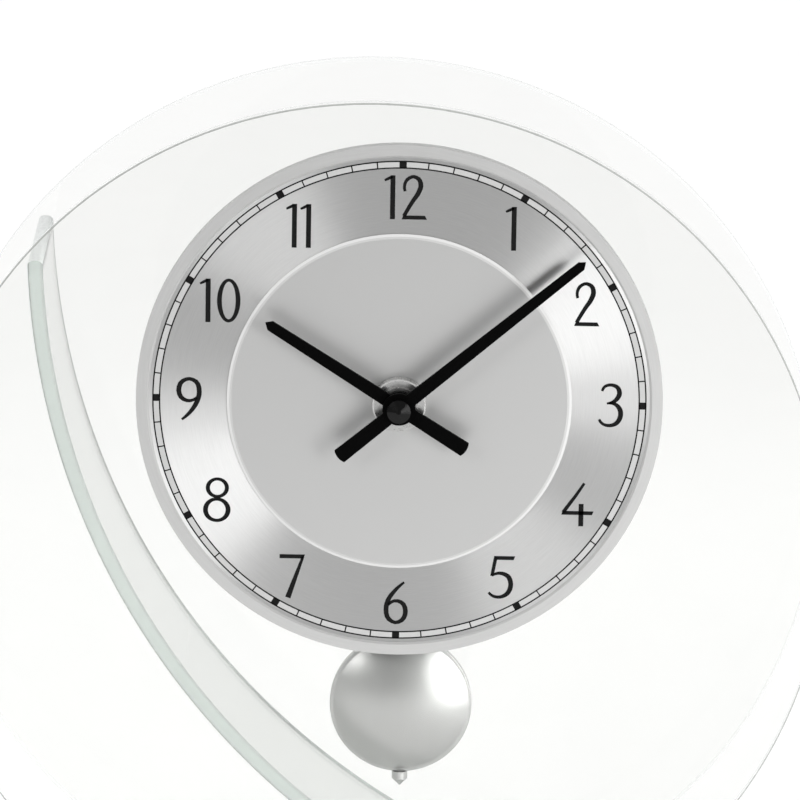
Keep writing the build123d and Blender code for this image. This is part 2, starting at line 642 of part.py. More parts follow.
def cover_screw(x, y):
    """Slotted screw through the cover into its pillar."""
    head_back = cover_face - SCREW_HEAD_HEIGHT
    body = disc(SCREW_RADIUS, cover_face, cover_floor + SCREW_LENGTH - SEAT_CLEARANCE, x, y)
    head = disc(SCREW_HEAD_RADIUS, head_back, cover_face, x, y)
    slot = Pos(x, y, head_back) * Box(2 * SCREW_HEAD_RADIUS, SCREW_SLOT_WIDTH, 2 * SCREW_SLOT_DEPTH)
    return body + head - slot


cover_screws = Compound(children=[cover_screw(x, y) for x, y in pillars])

# Pendulum: lever on the pivot pin, drive magnet, rod, two pressed bob shells and the rating nut below

pin_back = lever_back - END_PLAY - CLIP_THICKNESS - END_PLAY
pivot_pin = disc(PIVOT_PIN_RADIUS, pin_back, cover_floor, PENDULUM_RIGHT, -PIVOT_DROP)
clip_front = lever_back - END_PLAY
pivot_clip = ring(
    CLIP_RADIUS, PIVOT_PIN_RADIUS + SEAT_CLEARANCE, clip_front - CLIP_THICKNESS, clip_front,
    PENDULUM_RIGHT, -PIVOT_DROP,
)
cup_radius = MAGNET_RADIUS + MAGNET_CUP_WALL
half_lever = LEVER_WIDTH / 2
pendulum_lever = block(
    PENDULUM_RIGHT - half_lever, PENDULUM_RIGHT + half_lever, lever_end, -PIVOT_DROP, lever_back, lever_front
)
pendulum_lever += disc(LEVER_HUB_RADIUS, lever_back, lever_front, PENDULUM_RIGHT, -PIVOT_DROP)
pendulum_lever += disc(cup_radius, lever_back, lever_front, PENDULUM_RIGHT, -coil_drop)
pendulum_lever -= disc(
    PIVOT_PIN_RADIUS + RUNNING_CLEARANCE, lever_back, lever_front, PENDULUM_RIGHT, -PIVOT_DROP
)
pendulum_lever -= disc(
    MAGNET_RADIUS + SEAT_CLEARANCE, lever_front - MAGNET_THICKNESS, lever_front, PENDULUM_RIGHT, -coil_drop
)
drive_magnet = disc(MAGNET_RADIUS, lever_front - MAGNET_THICKNESS, lever_front, PENDULUM_RIGHT, -coil_drop)


def upright(radius, top, bottom):
    """Round bar along the pendulum between two heights."""
    return Pos(PENDULUM_RIGHT, bottom, pendulum_plane) * Rot(-90, 0, 0) * Cylinder(
        radius, top - bottom, align=UP_FROM
    )


bob_bottom = -bob_drop - BOB_RADIUS
nut_top = bob_bottom - SEAT_CLEARANCE
nut_side_end = nut_top - RATING_NUT_SIDE
rod_top = lever_end + ROD_SOCKET
rod_bottom = nut_side_end
pendulum_lever -= upright(ROD_RADIUS + SEAT_CLEARANCE, rod_top, lever_end)
pendulum_rod = upright(ROD_RADIUS, rod_top, rod_bottom)
rating_nut = upright(RATING_NUT_RADIUS, nut_top, nut_side_end) - upright(
    ROD_RADIUS + SEAT_CLEARANCE, nut_top, rod_bottom
)
rating_nut += Pos(PENDULUM_RIGHT, nut_side_end, pendulum_plane) * Rot(90, 0, 0) * Cone(
    RATING_NUT_RADIUS, 0, RATING_NUT_POINT, align=UP_FROM
)


def domed(radius, low, crown):
    """Spherical cap that springs from a circle at one height and peaks on the axis at another."""
    rise = crown - low
    sphere = (radius**2 + rise**2) / (2 * rise)
    half_turn = asin(radius / sphere) / 2
    middle = (sphere * sin(half_turn), crown - sphere * (1 - cos(half_turn)))
    edge = Polyline((radius, low), (0, low), (0, crown))
    arc = ThreePointArc((radius, low), middle, (0, crown))
    return revolve(Plane.XZ * make_face([*edge.edges(), arc]), Axis.Z)


def bob_shell(facing):
    """Domed shell with a flat rim, its hollow following the outside at the shell's thickness."""
    foot = BOB_RADIUS - BOB_FLANGE
    crown = BOB_RIM + BOB_DOME
    shell = disc(BOB_RADIUS, 0, BOB_RIM) + domed(foot, BOB_RIM, crown)
    shell -= domed(foot - BOB_SHELL, 0, crown - BOB_SHELL)
    if facing < 0:
        shell = mirror(shell, Plane.XY)
    shell = Pos(PENDULUM_RIGHT, -bob_drop, pendulum_plane) * shell
    return shell - upright(ROD_RADIUS + SEAT_CLEARANCE, -bob_drop + BOB_RADIUS, bob_bottom)


bob_front_shell = bob_shell(1)
bob_rear_shell = bob_shell(-1)

nodes = {
    "front_glass_disc": front_glass_disc,
    "rear_glass_disc": rear_glass_disc,
    "curved_glass_strip": curved_glass_strip,
    "dial_plate": dial_plate,
    "inner_dial": inner_dial,
    "dial_bezel": dial_bezel,
    "threaded_bush": threaded_bush,
    "rubber_gasket": rubber_gasket,
    "dial_washer": dial_washer,
    "centre_nut": centre_nut,
    "hour_hand": hour_hand,
    "minute_hand": minute_hand,
    "hand_cap": hand_cap,
    "hour_wheel": hour_wheel,
    "minute_arbor": minute_arbor,
    "centre_wheel": centre_wheel,
    "minute_wheel": minute_wheel,
    "third_wheel": third_wheel,
    "setting_arbor": setting_arbor,
    "setting_knob": setting_knob,
    "circuit_board": circuit_board,
    "driver_chip": driver_chip,
    "quartz_crystal": quartz_crystal,
    "motor_stator": motor_stator,
    "motor_coil": motor_coil,
    "motor_block": motor_block,
    "battery_cell": battery_cell,
    "contact_plus": contact_plus,
    "contact_minus": contact_minus,
    "drive_coil": drive_coil,
    "coil_core": coil_core,
    "movement_front_case": movement_front_case,
    "movement_rear_cover": movement_rear_cover,
    "cover_screws": cover_screws,
    "pivot_pin": pivot_pin,
    "pivot_clip": pivot_clip,
    "pendulum_lever": pendulum_lever,
    "drive_magnet": drive_magnet,
    "pendulum_rod": pendulum_rod,
    "bob_front_shell": bob_front_shell,
    "bob_rear_shell": bob_rear_shell,
    "rating_nut": rating_nut,
}
os.makedirs("parts", exist_ok=True)
for name, shape in nodes.items():
    export_step(place(shape), f"parts/{name}.step")
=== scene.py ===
"""Desk pendulum clock: finishes, dial print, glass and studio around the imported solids, in metres."""
import json
from math import cos, pi, radians, sin

import bmesh
import bpy
import numpy as np
from mathutils import Matrix, Quaternion, Vector


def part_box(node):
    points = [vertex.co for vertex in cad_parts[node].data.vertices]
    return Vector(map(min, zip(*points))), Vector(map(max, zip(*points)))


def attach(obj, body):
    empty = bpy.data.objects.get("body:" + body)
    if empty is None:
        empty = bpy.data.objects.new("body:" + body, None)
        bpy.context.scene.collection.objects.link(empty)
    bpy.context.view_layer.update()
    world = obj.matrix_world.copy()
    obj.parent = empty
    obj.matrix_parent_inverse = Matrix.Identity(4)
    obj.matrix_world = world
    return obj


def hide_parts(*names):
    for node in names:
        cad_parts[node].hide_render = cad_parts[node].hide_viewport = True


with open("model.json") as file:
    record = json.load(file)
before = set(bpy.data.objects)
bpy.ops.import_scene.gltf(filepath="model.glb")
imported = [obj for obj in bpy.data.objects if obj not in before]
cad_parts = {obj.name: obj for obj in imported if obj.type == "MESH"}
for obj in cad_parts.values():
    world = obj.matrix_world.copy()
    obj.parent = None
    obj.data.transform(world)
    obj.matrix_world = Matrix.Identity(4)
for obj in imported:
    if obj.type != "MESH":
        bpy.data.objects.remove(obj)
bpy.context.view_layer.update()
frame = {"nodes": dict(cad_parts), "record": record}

nodes = frame["nodes"]
MM = 0.001
SLANT = 0.3
NOISE_SPREAD = (0.25, 0.75)
NOISE_CORE = (0.3, 0.7)


# Where the dial and the pendulum bob stand, read from the solids

plate_low, plate_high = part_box("dial_plate")
bob_low, bob_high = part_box("bob_front_shell")
glass_low, glass_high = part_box("front_glass_disc")
DIAL_X = (plate_low.x + plate_high.x) / 2
DIAL_Z = (plate_low.z + plate_high.z) / 2
DIAL_FRONT = plate_low.y
DIAL_CENTRE = (DIAL_X, DIAL_FRONT, DIAL_Z)
BOB_CENTRE = ((bob_low.x + bob_high.x) / 2, bob_high.y, (bob_low.z + bob_high.z) / 2)
GLASS_RADIUS = (glass_high.x - glass_low.x) / 2
GLASS_CENTRE = ((glass_low.x + glass_high.x) / 2, glass_low.y, glass_high.z - GLASS_RADIUS)

# Dial print, in millimetres on the dial
INK_DEPTH = 0.03
INK_SUNK = 0.004
TRACK_OUTER = 64.55
TRACK_INNER = 62.80
TRACK_LINE = 0.36
TICK_WIDTH = 0.34
BLOCK_WIDTH = 1.9
NUMERAL_RADIUS = 55.0
NUMERAL_SHIFT = {
    1: (0.8, -0.5), 2: (0.9, -0.3), 3: (0.3, 0.0), 4: (-0.4, 0.4), 5: (0.1, 0.2), 6: (-0.3, 0.1),
    7: (-0.1, -0.4), 8: (0.1, -0.2), 9: (0.0, -0.3), 10: (0.4, -1.0), 11: (0.5, -0.7), 12: (0.8, 0.0),
}
STROKE_POINTS = 28
LOOP_POINTS = 72
TRACK_POINTS = 360


# Numpy surfaces

def shell_object(name, points, faces):
    """Mesh object from a vertex array and face index arrays, with its normals turned outwards."""
    mesh = bpy.data.meshes.new(name)
    mesh.from_pydata(points.tolist(), [], [f for block in faces for f in block.tolist()])
    mesh.validate()
    work = bmesh.new()
    work.from_mesh(mesh)
    bmesh.ops.recalc_face_normals(work, faces=work.faces)
    work.to_mesh(mesh)
    work.free()
    made = bpy.data.objects.new(name, mesh)
    bpy.context.scene.collection.objects.link(made)
    return made


def face_table(piece):
    """Middles and normals of a piece's faces."""
    faces = piece.data.polygons
    columns = []
    for name in ("center", "normal"):
        flat = np.empty(len(faces) * 3)
        faces.foreach_get(name, flat)
        columns.append(flat.reshape(-1, 3))
    return columns


def number_faces(piece, numbers):
    """Material number of each face."""
    piece.data.polygons.foreach_set("material_index", np.asarray(numbers, dtype=np.int32))
    piece.data.update()


def on_dial(flat, rise):
    """Dial point (x right, y up, in mm) and its rise off the plate as a point of the part frame."""
    return np.stack([
        DIAL_X + flat[..., 0] * MM,
        np.full(flat.shape[:-1], DIAL_FRONT - rise * MM),
        DIAL_Z + flat[..., 1] * MM,
    ], axis=-1)


def ink_shells(left, right, closed):
    """Ink ribbons with a rectangular section: n pairs of edge lines, k points each.

    Section corners go left-back, left-front, right-front, right-back. Each ribbon is the section
    carried along its line: face (i, c) joins corners c and c+1 of stations i and i+1. A closed
    ribbon joins its last station to its first, and an open one is capped at both ends.
    """
    count, steps = left.shape[:2]
    corners = np.stack([
        on_dial(left, -INK_SUNK), on_dial(left, INK_DEPTH),
        on_dial(right, INK_DEPTH), on_dial(right, -INK_SUNK),
    ], axis=2)
    number = np.arange(count * steps * 4).reshape(count, steps, 4)
    ahead = np.roll(number, -1, axis=1) if closed else number[:, 1:]
    here = number if closed else number[:, :-1]
    sides = np.stack([here, np.roll(here, -1, axis=2), np.roll(ahead, -1, axis=2), ahead], axis=-1)
    faces = [sides.reshape(-1, 4)]
    if not closed:
        faces += [number[:, 0, ::-1], number[:, -1]]
    return corners.reshape(-1, 3), faces


def joined(parts):
    """Several (points, faces) shells as one, with the indices of each moved past those before it."""
    points, faces, start = [], [], 0
    for shell_points, shell_faces in parts:
        points.append(shell_points)
        faces += [block + start for block in shell_faces]
        start += len(shell_points)
    return np.concatenate(points), faces


def smooth_line(knots):
    """Cubic through (x, y, width) knots: chord-length parameter, slopes by three-point differences."""
    knots = np.asarray(knots, float)
    chord = np.r_[0, np.cumsum(np.linalg.norm(np.diff(knots[:, :2], axis=0), axis=1))]
    slope = np.gradient(knots, chord, axis=0, edge_order=min(2, len(knots) - 1))
    along = np.linspace(0, chord[-1], STROKE_POINTS)
    i = np.clip(np.searchsorted(chord, along, side="right") - 1, 0, len(knots) - 2)
    span = (chord[i + 1] - chord[i])[:, None]
    t = (along - chord[i])[:, None] / span
    return (
        (1 + 2 * t) * (1 - t) ** 2 * knots[i]
        + t * (1 - t) ** 2 * span * slope[i]
        + t**2 * (3 - 2 * t) * knots[i + 1]
        + t**2 * (t - 1) * span * slope[i + 1]
    )


def brush_stroke(knots):
    """Left and right edge of a stroke: its smooth line, offset by half its width along the normal."""
    line = smooth_line(knots)
    run = np.gradient(line[:, :2], axis=0)
    run /= np.linalg.norm(run, axis=1, keepdims=True)
    side = np.stack([-run[:, 1], run[:, 0]], axis=1) * line[:, 2:] / 2
    return line[:, :2] + side, line[:, :2] - side


def bar(low_left, low_right, top_left, top_right):
    """Four-cornered stroke: two straight edges, from the low corners to the top ones."""
    t = np.linspace(0, 1, STROKE_POINTS)[:, None]
    left = np.asarray(low_left) * (1 - t) + np.asarray(top_left) * t
    right = np.asarray(low_right) * (1 - t) + np.asarray(top_right) * t
    return left, right


def oval(centre, half_wide, half_high, side_width, top_width):
    """Closed oval stroke: centreline ellipse, width top + (side - top) cos^2 of its angle."""
    turn = np.linspace(0, 2 * pi, LOOP_POINTS, endpoint=False)
    unit = np.stack([np.cos(turn), np.sin(turn)], axis=1)
    half = (top_width + (side_width - top_width) * np.cos(turn) ** 2)[:, None] / 2
    axes = np.array([half_wide, half_high])
    normal = unit / axes
    normal /= np.linalg.norm(normal, axis=1, keepdims=True)
    line = np.asarray(centre) + unit * axes
    return line + normal * half, line - normal * half


# Digits: open strokes and closed ovals, in millimetres from the digit's lower left

DIGITS = {
    "0": ([], [oval((3.05, 5.9), 2.43, 5.47, 1.25, 0.85)], 6.1),
    "1": ([
        bar((1.6, 0), (2.9, 0), (1.6, 11.7), (2.9, 11.7)),
        brush_stroke([(0.1, 10.35, 0.5), (1.0, 10.8, 0.75), (2.2, 11.4, 0.6)]),
    ], [], 2.9),
    "2": ([
        brush_stroke([
            (0.95, 7.5, 0.75), (0.75, 8.7, 0.8), (1.35, 10.5, 0.9), (3.0, 11.43, 0.9), (4.55, 10.7, 1.15),
            (5.03, 9.1, 1.3), (4.45, 7.2, 1.25), (3.0, 4.9, 1.1), (0.75, 0.9, 1.0),
        ]),
        bar((0.15, 0.0), (0.55, 1.05), (6.75, 0.0), (6.2, 1.05)),
    ], [], 6.75),
    "3": ([
        brush_stroke([
            (1.0, 9.75, 0.7), (1.7, 11.0, 0.8), (3.4, 11.45, 0.9), (5.05, 10.75, 1.15), (5.55, 9.2, 1.3),
            (4.6, 7.35, 1.1), (2.3, 6.45, 0.5),
        ]),
        brush_stroke([
            (2.3, 6.4, 0.5), (4.6, 6.2, 1.0), (5.85, 4.6, 1.3), (5.85, 2.7, 1.3), (4.9, 1.1, 1.15),
            (3.1, 0.45, 0.9), (1.3, 0.9, 0.8), (0.35, 2.1, 0.7),
        ]),
    ], [], 6.55),
    "4": ([
        brush_stroke([(5.9, 11.75, 0.7), (3.9, 8.6, 0.85), (1.9, 5.75, 0.95), (0.5, 3.75, 1.0)]),
        bar((0.05, 3.1), (0.3, 4.15), (8.1, 3.1), (8.5, 4.1)),
        bar((4.55, 0), (5.85, 0), (4.55, 6.1), (5.85, 6.1)),
    ], [], 8.45),
    "5": ([
        bar((1.5, 10.75), (1.5, 11.8), (6.7, 10.75), (7.1, 11.8)),
        brush_stroke([(1.95, 11.3, 0.95), (1.5, 8.8, 0.95), (1.05, 6.3, 0.9)]),
        brush_stroke([
            (1.0, 6.4, 0.6), (3.3, 7.1, 0.95), (5.35, 6.2, 1.25), (6.05, 4.0, 1.3), (5.2, 1.6, 1.2),
            (3.1, 0.55, 0.9), (1.25, 0.9, 0.8), (0.25, 1.8, 0.7),
        ]),
    ], [], 7.05),
    "6": ([
        brush_stroke([
            (5.8, 11.6, 0.6), (3.4, 9.3, 1.0), (1.6, 6.6, 1.25), (1.12, 4.2, 1.3), (1.75, 1.6, 1.2),
            (3.6, 0.5, 0.95), (5.55, 1.4, 1.2), (6.25, 3.7, 1.3), (5.5, 5.8, 1.15), (3.5, 6.5, 0.9),
            (1.7, 5.4, 0.7),
        ]),
    ], [], 6.9),
    "7": ([
        bar((0.15, 10.75), (0.15, 11.85), (6.4, 10.75), (6.85, 11.85)),
        brush_stroke([(6.35, 11.3, 0.7), (4.4, 5.7, 1.1), (2.45, 0.0, 1.45)]),
    ], [], 6.85),
    "8": ([], [
        oval((3.7, 9.35), 2.5, 2.38, 1.1, 0.85),
        oval((3.6, 3.35), 2.97, 2.92, 1.3, 0.9),
    ], 7.2),
    "9": ([
        brush_stroke([
            (5.5, 6.35, 0.7), (3.6, 5.45, 0.9), (1.55, 6.2, 1.15), (0.75, 8.3, 1.3), (1.45, 10.5, 1.2),
            (3.5, 11.42, 0.95), (5.45, 10.5, 1.2), (6.15, 7.9, 1.3), (5.4, 4.9, 1.25), (3.7, 2.3, 1.0),
            (1.6, 0.35, 0.6),
        ]),
    ], [], 7.1),
}
DIGIT_HEIGHT = 11.8
PAIR_STEP = {"10": 4.6, "11": 3.7, "12": 4.5}


def hour_numerals():
    """All twelve upright numerals: each digit's strokes moved to centre the numeral on its hour."""
    open_strokes, closed_strokes = [], []
    for hour in range(1, 13):
        word = str(hour)
        step = PAIR_STEP.get(word, 0.0)
        wide = step * (len(word) - 1) + DIGITS[word[-1]][2]
        turn = radians(30 * hour)
        middle = NUMERAL_RADIUS * np.array([sin(turn), cos(turn)]) + NUMERAL_SHIFT[hour]
        corner = middle - np.array([wide, DIGIT_HEIGHT]) / 2
        for place, digit in enumerate(word):
            at = corner + [step * place, 0]
            strokes, loops, _ = DIGITS[digit]
            open_strokes += [(left + at, right + at) for left, right in strokes]
            closed_strokes += [(left + at, right + at) for left, right in loops]
    shells = [
        ink_shells(*(np.stack(edge) for edge in zip(*group)), closed)
        for group, closed in ((open_strokes, False), (closed_strokes, True))
    ]
    return shell_object("hour_numerals", *joined(shells))


def track_circle():
    """Unit circle points (sin, cos) for the rings of the minute track."""
    turn = np.linspace(0, 2 * pi, TRACK_POINTS, endpoint=False)
    return np.stack([np.sin(turn), np.cos(turn)], axis=1)


def minute_track():
    """Two ring lines, sixty ticks between them and a broad block at every fifth minute."""
    unit = track_circle()
    half_line = TRACK_LINE / 2
    rings = [(unit * (r + half_line), unit * (r - half_line)) for r in (TRACK_INNER, TRACK_OUTER)]
    minute = np.arange(60)
    angle = 2 * pi * minute / 60
    out = np.stack([np.sin(angle), np.cos(angle)], axis=1)[:, None, :]
    across = np.stack([np.cos(angle), -np.sin(angle)], axis=1)[:, None, :]
    half = np.where(minute % 5 == 0, BLOCK_WIDTH, TICK_WIDTH)[:, None, None] / 2
    reach = np.array([TRACK_INNER, TRACK_OUTER])[None, :, None]
    ticks = ink_shells(out * reach - across * half, out * reach + across * half, False)
    lines = ink_shells(*(np.stack(edge) for edge in zip(*rings)), True)
    return shell_object("minute_track", *joined([lines, ticks]))


def track_band():
    """Pale band under the minute track: a flat ring half as thick as the ink over it."""
    unit = track_circle()
    under_side, top_side = -INK_SUNK, INK_DEPTH / 2
    rings = [on_dial(unit * r, rise) for r, rise in (
        (TRACK_OUTER, under_side), (TRACK_OUTER, top_side),
        (TRACK_INNER, top_side), (TRACK_INNER, under_side),
    )]
    number = np.arange(4 * TRACK_POINTS).reshape(4, -1)
    under, beside = np.roll(number, -1, axis=0), np.roll(number, -1, axis=1)
    faces = np.stack([number, beside, np.roll(under, -1, axis=1), under], axis=-1).reshape(-1, 4)
    return shell_object("track_band", np.concatenate(rings), [faces])


# Bent glass strip, in metres: it replaces its solid and stands a film's thickness clear of the discs

STRIP_OUTER = 0.202
STRIP_INNER = 0.198
STRIP_END_ROUND = 1.5 * MM
STRIP_ARRIS = 0.4 * MM
STRIP_JOINT = 1.5 * MM
JOINT_FOOT = 0.15
STRIP_SHARP = radians(25)
FILM = 0.05 * MM
STRIP_STEPS = 180
ACROSS_STEPS = 25


def bent_strip():
    """Flat bar section carried round a quarter circle, down to the table and up to a level, rounded end.

    The section is a ring of (radius, depth) points: front edge, outer face, rear edge, inner face. The
    inner face is parted by a joint line along the rear disc that widens as t^2 towards the top. A point at
    radius r runs through turns t * end(r) from straight down. The end is at the height top - drop(r), where
    drop = c - sqrt(c^2 - s^2) for s, how far r is inside the corner radius c at either face, so
    end(r) = acos((centre - top + drop) / r). What would be below the table is flattened on to it.
    Returns the piece and its faces' material numbers: 0 glass, 1 ground edge, 2 top end (painted lighter),
    3 joint line.
    """
    low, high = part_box("curved_glass_strip")
    pane_low, pane_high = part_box("rear_glass_disc")
    pane_radius = (pane_high.x - pane_low.x) / 2
    centre_x, centre_z = high.x, pane_high.z - 2 * pane_radius + STRIP_OUTER
    front, back = low.y + FILM, high.y - FILM
    eased = (1 - np.cos(np.linspace(0, pi, ACROSS_STEPS))) / 2
    across = STRIP_INNER + (STRIP_OUTER - STRIP_INNER) * eased
    edge = np.clip(STRIP_ARRIS - np.minimum(across - STRIP_INNER, STRIP_OUTER - across), 0, None)
    section = np.concatenate([
        np.stack([across, front + edge], axis=1), np.stack([across, back - edge], axis=1)[::-1],
        [(STRIP_INNER, back - STRIP_ARRIS - STRIP_JOINT)],
    ])
    radius = section[:, 0]
    inside = np.clip(STRIP_END_ROUND - np.minimum(radius - STRIP_INNER, STRIP_OUTER - radius), 0, None)
    drop = STRIP_END_ROUND - np.sqrt(STRIP_END_ROUND**2 - inside**2)
    end = np.arccos((centre_z - high.z + drop) / radius)
    along = np.linspace(0, 1, STRIP_STEPS)
    turn = along[:, None] * end[None, :]
    points = np.stack([
        centre_x - radius * np.sin(turn),
        np.broadcast_to(section[:, 1], turn.shape),
        np.maximum(centre_z - radius * np.cos(turn), low.z),
    ], axis=-1)
    points[:, -1, 1] = back - STRIP_ARRIS - STRIP_JOINT * (JOINT_FOOT + (1 - JOINT_FOOT) * along**2)
    number = np.arange(turn.size).reshape(turn.shape)
    beside = np.roll(number, -1, axis=1)
    sides = np.stack([number[:-1], beside[:-1], beside[1:], number[1:]], axis=-1).reshape(-1, 4)
    fore, rear = number[:, :ACROSS_STEPS], number[:, -2::-1][:, :ACROSS_STEPS]
    caps = [
        np.stack([fore[i, 1:-1], fore[i, 2:], rear[i, 2:], rear[i, 1:-1]], axis=-1) for i in (0, -1)
    ]
    last = 2 * ACROSS_STEPS
    cap_sides = number[[0, -1]][:, [0, 1, last - 2, last - 1, last]]
    made = shell_object("bent_strip", points.reshape(-1, 3), [sides, *caps, cap_sides])
    made.data.shade_smooth()
    made.data.set_sharp_from_angle(angle=STRIP_SHARP)
    middle, normal = face_table(made)
    top = (middle[:, 2] > high.z - STRIP_END_ROUND) & (np.abs(normal[:, 2]) > SLANT)
    foot = middle[:, 0] > high.x - FILM
    edges = (middle[:, 1] < front + STRIP_ARRIS) | (middle[:, 1] > back - STRIP_ARRIS)
    inner = np.hypot(middle[:, 0] - centre_x, middle[:, 2] - centre_z) < STRIP_INNER + STRIP_ARRIS
    joint = inner & (middle[:, 1] > back - STRIP_ARRIS - STRIP_JOINT)
    return made, np.select([top, foot, joint, edges], [2, 1, 3, 1], 0)


# Front of the pendulum bob, in metres: a smooth dome in place of its solid

BOB_RIM = 1.1 * MM
BOB_FLANGE = 0.7 * MM
BOB_SHELL = 0.6 * MM
BOB_EASE = 0.25 * MM
DOME_RINGS = 40
DOME_TURNS = 144
EASE_POINTS = 6
DOME_SHARP = radians(40)


def dome_profile(foot, spring, crown):
    """(radius, depth) points of a spherical cap from its pole to its foot.

    The sphere has radius R = (foot^2 + rise^2) / 2 rise, and a point at radius r stands R - sqrt(R^2 - r^2)
    below the crown.
    """
    rise = crown - spring
    ball = (foot**2 + rise**2) / (2 * rise)
    radius = foot * np.linspace(0, 1, DOME_RINGS)
    return np.stack([radius, crown - ball + np.sqrt(ball**2 - radius**2)], axis=1)


def bob_dome():
    """Front shell's section turned about the bob's axis: dome, eased rim, flat back, hollow inside."""
    low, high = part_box("bob_front_shell")
    outer, crown = (high.x - low.x) / 2, high.y - low.y
    foot = outer - BOB_FLANGE
    outside = dome_profile(foot, BOB_RIM, crown)
    corner = np.linspace(0, pi / 2, EASE_POINTS)
    rim = np.stack([
        outer - BOB_EASE + BOB_EASE * np.sin(corner), BOB_RIM - BOB_EASE + BOB_EASE * np.cos(corner),
    ], axis=1)
    inside = dome_profile(foot - BOB_SHELL, 0, crown - BOB_SHELL)[::-1]
    profile = np.concatenate([outside[1:], rim, [(outer, 0)], inside[:-1]])
    turn = np.linspace(0, 2 * pi, DOME_TURNS, endpoint=False)
    centre_x, centre_z = (low.x + high.x) / 2, (low.z + high.z) / 2
    points = np.stack([
        centre_x + profile[:, :1] * np.cos(turn),
        np.broadcast_to(high.y - profile[:, 1:], (len(profile), DOME_TURNS)),
        centre_z + profile[:, :1] * np.sin(turn),
    ], axis=-1)
    number = np.arange(points.shape[0] * DOME_TURNS).reshape(-1, DOME_TURNS)
    beside = np.roll(number, -1, axis=1)
    bands = np.stack([number[:-1], beside[:-1], beside[1:], number[1:]], axis=-1).reshape(-1, 4)
    pole_depths = (high.y - crown, high.y - crown + BOB_SHELL)
    poles = np.array([(centre_x, depth, centre_z) for depth in pole_depths])
    first = number.size
    fans = [
        np.stack([number[row], beside[row], np.full(DOME_TURNS, first + pole)], axis=-1)
        for row, pole in ((0, 0), (-1, 1))
    ]
    made = shell_object("bob_dome", np.concatenate([points.reshape(-1, 3), poles]), [bands, *fans])
    made.data.shade_smooth()
    made.data.set_sharp_from_angle(angle=DOME_SHARP)
    return made


# Node helpers for the finishes

def put(tree, kind, inputs=None, **settings):
    """New shader node with its settings; an input gets a value, or is wired to a socket."""
    made = tree.nodes.new("ShaderNode" + kind)
    for key, value in settings.items():
        setattr(made, key, value)
    for key, value in (inputs or {}).items():
        if isinstance(value, bpy.types.NodeSocket):
            tree.links.new(value, made.inputs[key])
        else:
            made.inputs[key].default_value = value
    return made


def maths(tree, operation, *values):
    """One Math node on numbers or sockets."""
    return put(tree, "Math", dict(enumerate(values)), operation=operation).outputs[0]


def between(tree, value, low, high, to_low=0.0, to_high=1.0, smooth=True):
    """Map a value between two marks, eased at both ends."""
    kind = "SMOOTHSTEP" if smooth else "LINEAR"
    made = put(tree, "MapRange", {
        "Value": value, "From Min": low, "From Max": high, "To Min": to_low, "To Max": to_high,
    }, interpolation_type=kind)
    return made.outputs["Result"]


def blend_colour(tree, share, first, second):
    """Mix of two colours, each a socket or an rgb triple."""
    made = put(tree, "Mix", {"Factor": share}, data_type="RGBA")
    for key, value in (("A", first), ("B", second)):
        socket = [s for s in made.inputs if s.name == key and s.type == "RGBA"][0]
        if isinstance(value, bpy.types.NodeSocket):
            tree.links.new(value, socket)
        else:
            socket.default_value = (*value, 1.0)
    return [s for s in made.outputs if s.type == "RGBA"][0]


def finish(name, colour, roughness, metallic=0.0, **sockets):
    """New material with its Principled shader set; returns material, node tree and shader."""
    made = bpy.data.materials.new(name)
    made.use_nodes = True
    tree = made.node_tree
    shader = tree.nodes["Principled BSDF"]
    shader.inputs["Base Color"].default_value = (*colour, 1.0)
    shader.inputs["Roughness"].default_value = roughness
    shader.inputs["Metallic"].default_value = metallic
    for key, value in sockets.items():
        shader.inputs[key.replace("_", " ")].default_value = value
    return made, tree, shader


def local(tree, centre=(0, 0, 0)):
    """Object coordinates counted from a centre, in metres."""
    coordinates = put(tree, "TexCoord").outputs["Object"]
    offset = tuple(-c for c in centre)
    return put(tree, "Mapping", {"Vector": coordinates, "Location": offset}).outputs[0]


def off_axis(tree, centre):
    """Position off the depth axis through a centre, and its length, the radius about that axis."""
    flat = put(tree, "VectorMath", {0: local(tree, centre), 1: (1, 0, 1)}, operation="MULTIPLY").outputs[0]
    return flat, put(tree, "VectorMath", {0: flat}, operation="LENGTH").outputs["Value"]


def turned_coordinates(tree, centre, lines, arcs):
    """Noise position that is stretched along circles round the depth axis.

    The position is (lines * radius, arcs * x / radius, arcs * z / radius), so it has no seam.
    """
    flat, radius = off_axis(tree, centre)
    unit = put(tree, "VectorMath", {0: flat}, operation="NORMALIZE").outputs[0]
    parts = put(tree, "SeparateXYZ", {0: unit}).outputs
    return put(tree, "CombineXYZ", {
        "X": maths(tree, "MULTIPLY", radius, lines),
        "Y": maths(tree, "MULTIPLY", parts["X"], arcs),
        "Z": maths(tree, "MULTIPLY", parts["Z"], arcs),
    }).outputs[0]


def noise(tree, vector, scale, detail=3.0, rough=0.55):
    """Noise value at a position."""
    return put(tree, "TexNoise", {
        "Vector": vector, "Scale": scale, "Detail": detail, "Roughness": rough,
    }).outputs["Fac"]


def relief(tree, shader, height, depth_mm, strength=1.0):
    """Bump from a height of 0 to 1 that stands for a depth in millimetres."""
    made = put(tree, "Bump", {"Height": height, "Strength": strength, "Distance": depth_mm * MM})
    tree.links.new(made.outputs[0], shader.inputs["Normal"])


def vary(tree, shader, socket, value, low, high):
    """Let a shader number follow a noise over its usual spread."""
    tree.links.new(between(tree, value, *NOISE_SPREAD, low, high, False), shader.inputs[socket])


def paint(tree, shader, share, first, second):
    """Base colour of a shader as a mix of two colours."""
    tree.links.new(blend_colour(tree, share, first, second), shader.inputs["Base Color"])


def brush_round(tree, shader):
    """Brushing of a shader along circles round the depth axis."""
    tangent = put(tree, "Tangent", direction_type="RADIAL", axis="Y")
    tree.links.new(tangent.outputs[0], shader.inputs["Tangent"])


# Finishes

